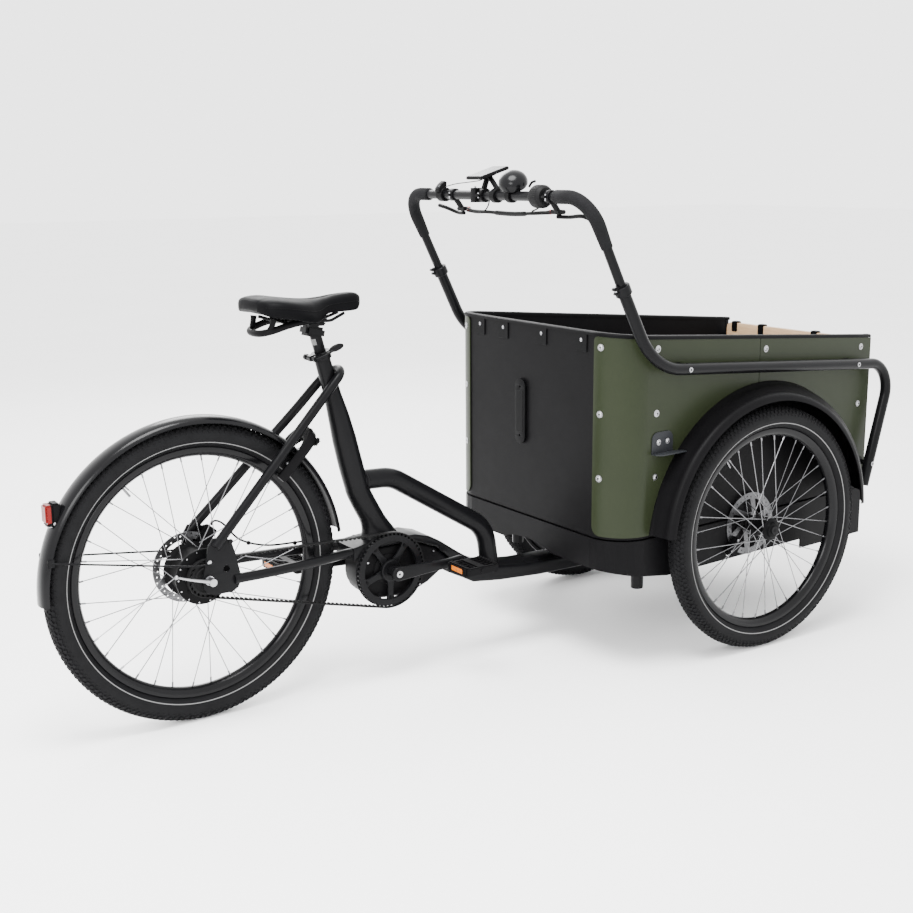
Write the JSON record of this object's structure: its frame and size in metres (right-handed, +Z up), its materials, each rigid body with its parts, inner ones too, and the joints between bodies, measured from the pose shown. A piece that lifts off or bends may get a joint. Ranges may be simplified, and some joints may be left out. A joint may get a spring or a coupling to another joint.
{
  "type": "cargo bicycle",
  "caption": "Cargo bicycle with a steered box between its front wheels, mid motor, toothed belt, telescopic handlebar, adjustable saddle and a fold-down bench board.",
  "frame": {"origin": "centre of the footprint, on the ground below the middle of the bounding box", "axes": "+X towards the front box (direction of travel), +Y to the rider's left, +Z up"},
  "size_m": [2.2236, 0.812, 1.194],
  "materials": {
    "frame_black": "satin powder coat",
    "plastic_black": "fine grain, matt",
    "gloss_black": "gloss",
    "panel_green": "satin olive green",
    "tyre_rubber": "matt",
    "belt_rubber": "matt",
    "steel": "bright",
    "saddle_vinyl": "soft satin",
    "grip_foam": "matt foam",
    "plywood": "clear satin",
    "lamp_red": "clear red"
  },
  "bodies": {
    "rear_frame_body": {"rear_frame": "frame_black", "rear_triangle": "frame_black", "motor_unit": "plastic_black", "drive_belt": "belt_rubber", "rear_axle": "steel", "rear_mudguard": "gloss_black", "tail_lamp": "lamp_red", "frame_lock": "plastic_black", "seat_collar": "frame_black", "rear_caliper": "plastic_black", "rear_brake_hose": "belt_rubber"},
    "rear_wheel_body": {"rear_hub": "plastic_black", "rear_rim": "gloss_black", "rear_rotor": "steel", "rear_tyre": "tyre_rubber"},
    "sprocket_body": {"rear_sprocket": "steel"},
    "crank_body": {"crank_right": "frame_black", "crank_left": "frame_black", "belt_ring": "frame_black"},
    "pedal_right_body": {"pedal_right": "plastic_black"},
    "pedal_left_body": {"pedal_left": "plastic_black"},
    "lock_lever_body": {"lock_lever": "plastic_black"},
    "seat_lever_body": {"seat_lever": "frame_black"},
    "saddle_body": {"seat_post": "frame_black", "saddle_clamp": "steel", "saddle": "saddle_vinyl", "grab_loop": "plastic_black"},
    "box_body": {"cargo_box": "plastic_black", "box_skirt": "plastic_black", "front_chassis": "frame_black", "battery_pack": "plastic_black", "side_panel_rear_left": "panel_green", "side_panel_rear_right": "panel_green", "side_panel_front_left": "panel_green", "side_panel_front_right": "panel_green", "side_rail_left": "frame_black", "side_rail_right": "frame_black", "front_mudguard_left": "plastic_black", "front_mudguard_right": "plastic_black", "front_caliper_left": "plastic_black", "front_caliper_right": "plastic_black"},
    "bench_body": {"bench_board": "plywood"},
    "front_wheel_left_body": {"front_hub_left": "plastic_black", "front_rim_left": "gloss_black", "front_tyre_left": "tyre_rubber"},
    "front_wheel_right_body": {"front_hub_right": "plastic_black", "front_rim_right": "gloss_black", "front_tyre_right": "tyre_rubber"},
    "bar_body": {"handlebar": "frame_black", "grip_left": "grip_foam", "grip_right": "grip_foam", "assist_remote": "plastic_black", "bell": "frame_black", "control_cables": "belt_rubber"},
    "display_body": {"display": "plastic_black"},
    "striker_body": {"bell_striker": "frame_black"},
    "shifter_body": {"twist_shifter": "plastic_black"},
    "lever_left_body": {"brake_lever_left": "frame_black"},
    "lever_right_body": {"brake_lever_right": "frame_black"}
  },
  "joints": [
    {"name": "steering_turn", "type": "hinge", "parent": "rear_frame_body", "child": "box_body", "pos_m": [0.4311, 0, 0.25], "axis": [0, 0, 1], "range_deg": [-30, 30]},
    {"name": "rear_wheel_spin", "type": "hinge", "parent": "rear_frame_body", "child": "rear_wheel_body", "pos_m": [-0.7689, 0, 0.33347], "axis": [0, 1, 0], "continuous": true},
    {"name": "front_wheel_left_spin", "type": "hinge", "parent": "box_body", "child": "front_wheel_left_body", "pos_m": [0.5861, 0.3687, 0.30755], "axis": [0, 1, 0], "continuous": true},
    {"name": "front_wheel_right_spin", "type": "hinge", "parent": "box_body", "child": "front_wheel_right_body", "pos_m": [0.5861, -0.3687, 0.30755], "axis": [0, 1, 0], "continuous": true},
    {"name": "crank_spin", "type": "hinge", "parent": "rear_frame_body", "child": "crank_body", "pos_m": [-0.3119, 0, 0.273], "axis": [0, 1, 0], "continuous": true},
    {"name": "rear_sprocket_spin", "type": "hinge", "parent": "rear_frame_body", "child": "sprocket_body", "pos_m": [-0.7689, -0.052, 0.33347], "axis": [0, 1, 0], "continuous": true},
    {"name": "pedal_right_spin", "type": "hinge", "parent": "crank_body", "child": "pedal_right_body", "pos_m": [-0.14193, -0.145, 0.27597], "axis": [0, 1, 0], "continuous": true},
    {"name": "pedal_left_spin", "type": "hinge", "parent": "crank_body", "child": "pedal_left_body", "pos_m": [-0.48187, 0.145, 0.27003], "axis": [0, 1, 0], "continuous": true},
    {"name": "seat_post_slide", "type": "slide", "parent": "rear_frame_body", "child": "saddle_body", "axis": [-0.2711, 0, 0.9626], "range_m": [-0.02, 0.07]},
    {"name": "seat_lever_swing", "type": "hinge", "parent": "rear_frame_body", "child": "seat_lever_body", "pos_m": [-0.47757, -0.029, 0.77976], "axis": [-0.2711, 0, 0.9626], "range_deg": [-100, 0]},
    {"name": "lock_lever_turn", "type": "hinge", "parent": "rear_frame_body", "child": "lock_lever_body", "pos_m": [-0.53202, 0, 0.57035], "axis": [0.7071, 0, -0.7071], "range_deg": [0, 45]},
    {"name": "bench_fold", "type": "hinge", "parent": "box_body", "child": "bench_body", "pos_m": [1.0341, 0, 0.49], "axis": [0, 1, 0], "range_deg": [-90, 0]},
    {"name": "handlebar_slide", "type": "slide", "parent": "box_body", "child": "bar_body", "axis": [-0.4448, 0, 0.8956], "range_m": [-0.02, 0.04]},
    {"name": "display_tilt", "type": "hinge", "parent": "bar_body", "child": "display_body", "pos_m": [0.0069, 0.02, 1.1265], "axis": [0, 1, 0], "range_deg": [-30, 30]},
    {"name": "bell_striker_turn", "type": "hinge", "parent": "bar_body", "child": "striker_body", "pos_m": [0.0249, -0.135, 1.1465], "axis": [1, 0, 0], "range_deg": [0, 25], "stiffness_Nm_per_rad": 0.05},
    {"name": "twist_shifter_turn", "type": "hinge", "parent": "bar_body", "child": "shifter_body", "pos_m": [0.0069, -0.203, 1.1265], "axis": [0, 1, 0], "range_deg": [-60, 60]},
    {"name": "brake_lever_left_turn", "type": "hinge", "parent": "bar_body", "child": "lever_left_body", "pos_m": [0.0329, 0.15, 1.082], "axis": [0, 0, 1], "range_deg": [0, 12], "stiffness_Nm_per_rad": 2},
    {"name": "brake_lever_right_turn", "type": "hinge", "parent": "bar_body", "child": "lever_right_body", "pos_m": [0.0329, -0.238, 1.082], "axis": [0, 0, 1], "range_deg": [-12, 0], "stiffness_Nm_per_rad": 2}
  ],
  "couplings": [
    {"joint": "rear_sprocket_spin", "follows": "crank_spin", "ratio": 2.2727}
  ]
}
